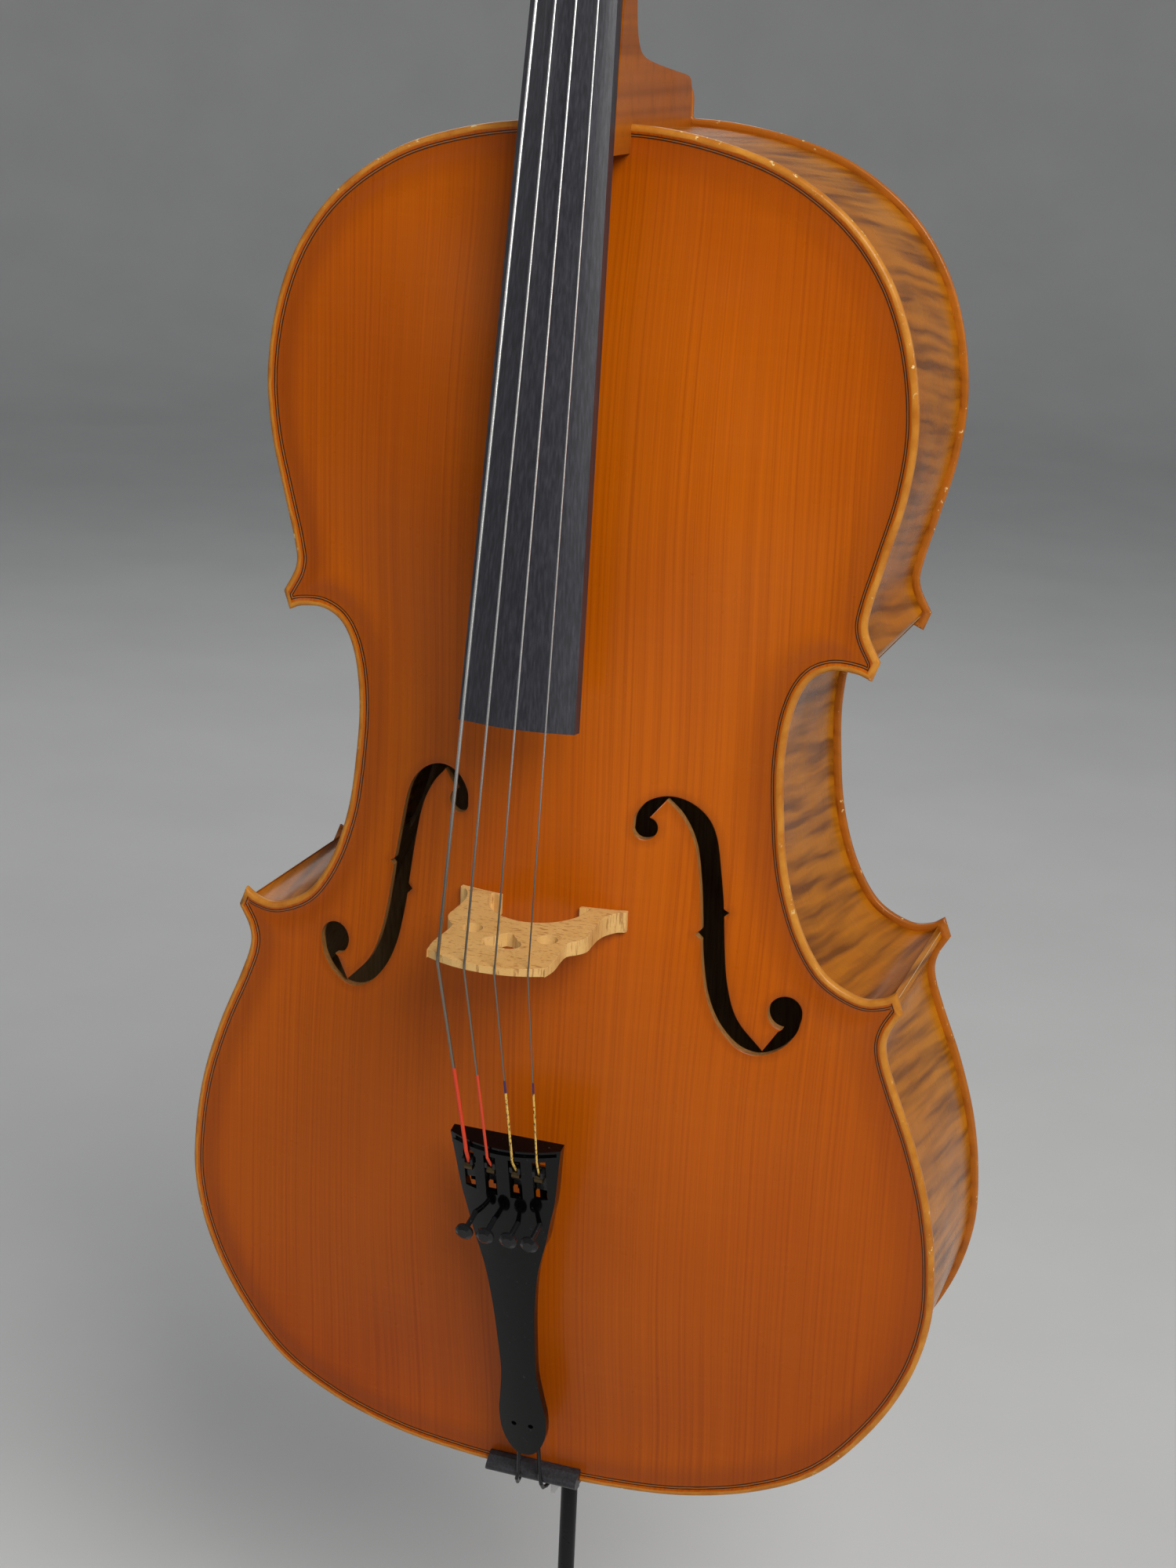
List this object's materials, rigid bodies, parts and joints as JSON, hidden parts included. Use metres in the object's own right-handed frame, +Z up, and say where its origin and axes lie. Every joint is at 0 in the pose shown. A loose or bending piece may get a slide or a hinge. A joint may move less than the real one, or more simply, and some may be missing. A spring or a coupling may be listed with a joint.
{
  "type": "cello",
  "caption": "Full-size cello with arched spruce top, flamed maple back and ribs, scroll head with pegs, carved bridge, built-in fine tuners and a sliding endpin.",
  "frame": {"origin": "lowest point of the endpin tip, on the floor", "axes": "+Z up along the body towards the scroll; the sounding top faces -Y; +X towards the treble side, the player's left hand side seen from the front as the viewer's right"},
  "size_m": [0.44, 0.2707, 1.5392],
  "materials": {
    "spruce_varnished": "orange-brown oil varnish over straight-grained spruce, satin gloss",
    "maple_back": "reddish amber varnish over flamed maple, gloss",
    "maple_ribs": "amber varnish over flamed maple, gloss",
    "maple_neck": "amber stained maple, hand-rubbed satin",
    "purfling": "black and pale inlaid strips, satin",
    "spruce_raw": "bare spruce, matt",
    "willow_raw": "bare willow, matt",
    "maple_bridge": "bare maple with medullary flecks, satin",
    "ebony": "polished ebony, satin",
    "ebonised": "black-stained hardwood, semi-gloss",
    "tail_black": "moulded black composite, high gloss",
    "tuner_black": "black lacquered metal, gloss",
    "tuner_pin": "ground steel",
    "string_steel": "flat-wound steel, bright, with silk wrapping at the lower end",
    "string_coil": "flat-wound steel, bright",
    "brass": "turned brass",
    "gut_cord": "braided synthetic cord",
    "pin_black": "black anodised steel, satin",
    "pin_steel": "turned steel, satin",
    "tip_rubber": "moulded rubber, matt"
  },
  "bodies": {
    "cello": {"top_plate": "spruce_varnished", "back_plate": "maple_back", "top_purfling": "purfling", "back_purfling": "purfling", "rib_upper_bass": "maple_ribs", "rib_upper_treble": "maple_ribs", "rib_waist_bass": "maple_ribs", "rib_waist_treble": "maple_ribs", "rib_lower_bass": "maple_ribs", "rib_lower_treble": "maple_ribs", "top_linings": "willow_raw", "back_linings": "willow_raw", "neck_block": "willow_raw", "end_block": "willow_raw", "corner_blocks": "willow_raw", "bass_bar": "spruce_raw", "sound_post": "spruce_raw", "neck_scroll": "maple_neck", "fingerboard": "ebony", "nut": "ebony", "string_c": "string_steel", "string_g": "string_steel", "string_d": "string_steel", "string_a": "string_steel", "bridge": "maple_bridge", "tailpiece": "tail_black", "tuner_pins": "tuner_pin", "tailgut": "gut_cord", "saddle": "ebony", "endpin_socket": "ebonised", "endpin_collar": "pin_steel"},
    "peg_c": {"peg_c": "ebony", "coil_c": "string_coil"},
    "peg_g": {"peg_g": "ebony", "coil_g": "string_coil"},
    "peg_d": {"peg_d": "ebony", "coil_d": "string_coil"},
    "peg_a": {"peg_a": "ebony", "coil_a": "string_coil"},
    "screw_c": {"screw_c": "tuner_black"},
    "knob_c": {"knob_c": "tuner_black"},
    "lever_c": {"lever_c": "tuner_black", "ball_c": "brass"},
    "screw_g": {"screw_g": "tuner_black"},
    "knob_g": {"knob_g": "tuner_black"},
    "lever_g": {"lever_g": "tuner_black", "ball_g": "brass"},
    "screw_d": {"screw_d": "tuner_black"},
    "knob_d": {"knob_d": "tuner_black"},
    "lever_d": {"lever_d": "tuner_black", "ball_d": "brass"},
    "screw_a": {"screw_a": "tuner_black"},
    "knob_a": {"knob_a": "tuner_black"},
    "lever_a": {"lever_a": "tuner_black", "ball_a": "brass"},
    "endpin": {"endpin_rod": "pin_black", "endpin_tip": "tip_rubber"},
    "clamp_shank": {"endpin_screw": "pin_steel"},
    "clamp_wing": {"endpin_wing": "pin_steel"}
  },
  "joints": [
    {"name": "peg_c_turn", "type": "hinge", "parent": "cello", "child": "peg_c", "pos_m": [0, -0.03322, 1.38914], "axis": [-1, 0, 0], "continuous": true},
    {"name": "peg_g_turn", "type": "hinge", "parent": "cello", "child": "peg_g", "pos_m": [0, -0.01955, 1.43932], "axis": [-1, 0, 0], "continuous": true},
    {"name": "peg_d_turn", "type": "hinge", "parent": "cello", "child": "peg_d", "pos_m": [0, -0.01488, 1.4588], "axis": [1, 0, 0], "continuous": true},
    {"name": "peg_a_turn", "type": "hinge", "parent": "cello", "child": "peg_a", "pos_m": [0, -0.02856, 1.40862], "axis": [1, 0, 0], "continuous": true},
    {"name": "tuner_c_screw_travel", "type": "slide", "parent": "cello", "child": "screw_c", "axis": [0, 0.9677, 0.2521], "range_m": [-0.002, 0.002]},
    {"name": "tuner_c_knob_turn", "type": "hinge", "parent": "screw_c", "child": "knob_c", "pos_m": [-0.0184, -0.14023, 0.51731], "axis": [0, 0.9677, 0.2521], "range_deg": [-1441, 1441]},
    {"name": "tuner_c_lever_tilt", "type": "hinge", "parent": "cello", "child": "lever_c", "pos_m": [-0.0198, -0.12669, 0.54667], "axis": [1, 0, 0], "range_deg": [-4.3, 4.3]},
    {"name": "tuner_g_screw_travel", "type": "slide", "parent": "cello", "child": "screw_g", "axis": [0, 0.9677, 0.2521], "range_m": [-0.002, 0.002]},
    {"name": "tuner_g_knob_turn", "type": "hinge", "parent": "screw_g", "child": "knob_g", "pos_m": [-0.0066, -0.14023, 0.51731], "axis": [0, 0.9677, 0.2521], "range_deg": [-1441, 1441]},
    {"name": "tuner_g_lever_tilt", "type": "hinge", "parent": "cello", "child": "lever_g", "pos_m": [-0.007, -0.12669, 0.54667], "axis": [1, 0, 0], "range_deg": [-4.3, 4.3]},
    {"name": "tuner_d_screw_travel", "type": "slide", "parent": "cello", "child": "screw_d", "axis": [0, 0.9677, 0.2521], "range_m": [-0.002, 0.002]},
    {"name": "tuner_d_knob_turn", "type": "hinge", "parent": "screw_d", "child": "knob_d", "pos_m": [0.0066, -0.14023, 0.51731], "axis": [0, 0.9677, 0.2521], "range_deg": [-1441, 1441]},
    {"name": "tuner_d_lever_tilt", "type": "hinge", "parent": "cello", "child": "lever_d", "pos_m": [0.007, -0.12669, 0.54667], "axis": [1, 0, 0], "range_deg": [-4.3, 4.3]},
    {"name": "tuner_a_screw_travel", "type": "slide", "parent": "cello", "child": "screw_a", "axis": [0, 0.9677, 0.2521], "range_m": [-0.002, 0.002]},
    {"name": "tuner_a_knob_turn", "type": "hinge", "parent": "screw_a", "child": "knob_a", "pos_m": [0.0184, -0.14023, 0.51731], "axis": [0, 0.9677, 0.2521], "range_deg": [-1441, 1441]},
    {"name": "tuner_a_lever_tilt", "type": "hinge", "parent": "cello", "child": "lever_a", "pos_m": [0.0198, -0.12669, 0.54667], "axis": [1, 0, 0], "range_deg": [-4.3, 4.3]},
    {"name": "endpin_slide", "type": "slide", "parent": "cello", "child": "endpin", "axis": [0, 0, 1], "range_m": [-0.1, 0.262]},
    {"name": "clamp_shank_travel", "type": "slide", "parent": "cello", "child": "clamp_shank", "axis": [0, 1, 0], "range_m": [-0.0024, 0]},
    {"name": "clamp_wing_turn", "type": "hinge", "parent": "clamp_shank", "child": "clamp_wing", "pos_m": [0, -0.02, 0.306], "axis": [0, 1, 0], "range_deg": [-1081, 1]}
  ],
  "couplings": [
    {"joint": "tuner_c_knob_turn", "follows": "tuner_c_screw_travel", "rad_per_m": 12566},
    {"joint": "tuner_c_lever_tilt", "follows": "tuner_c_screw_travel", "rad_per_m": 37.05},
    {"joint": "tuner_g_knob_turn", "follows": "tuner_g_screw_travel", "rad_per_m": 12566},
    {"joint": "tuner_g_lever_tilt", "follows": "tuner_g_screw_travel", "rad_per_m": 37.05},
    {"joint": "tuner_d_knob_turn", "follows": "tuner_d_screw_travel", "rad_per_m": 12566},
    {"joint": "tuner_d_lever_tilt", "follows": "tuner_d_screw_travel", "rad_per_m": 37.05},
    {"joint": "tuner_a_knob_turn", "follows": "tuner_a_screw_travel", "rad_per_m": 12566},
    {"joint": "tuner_a_lever_tilt", "follows": "tuner_a_screw_travel", "rad_per_m": 37.05},
    {"joint": "clamp_wing_turn", "follows": "clamp_shank_travel", "rad_per_m": 7854}
  ]
}
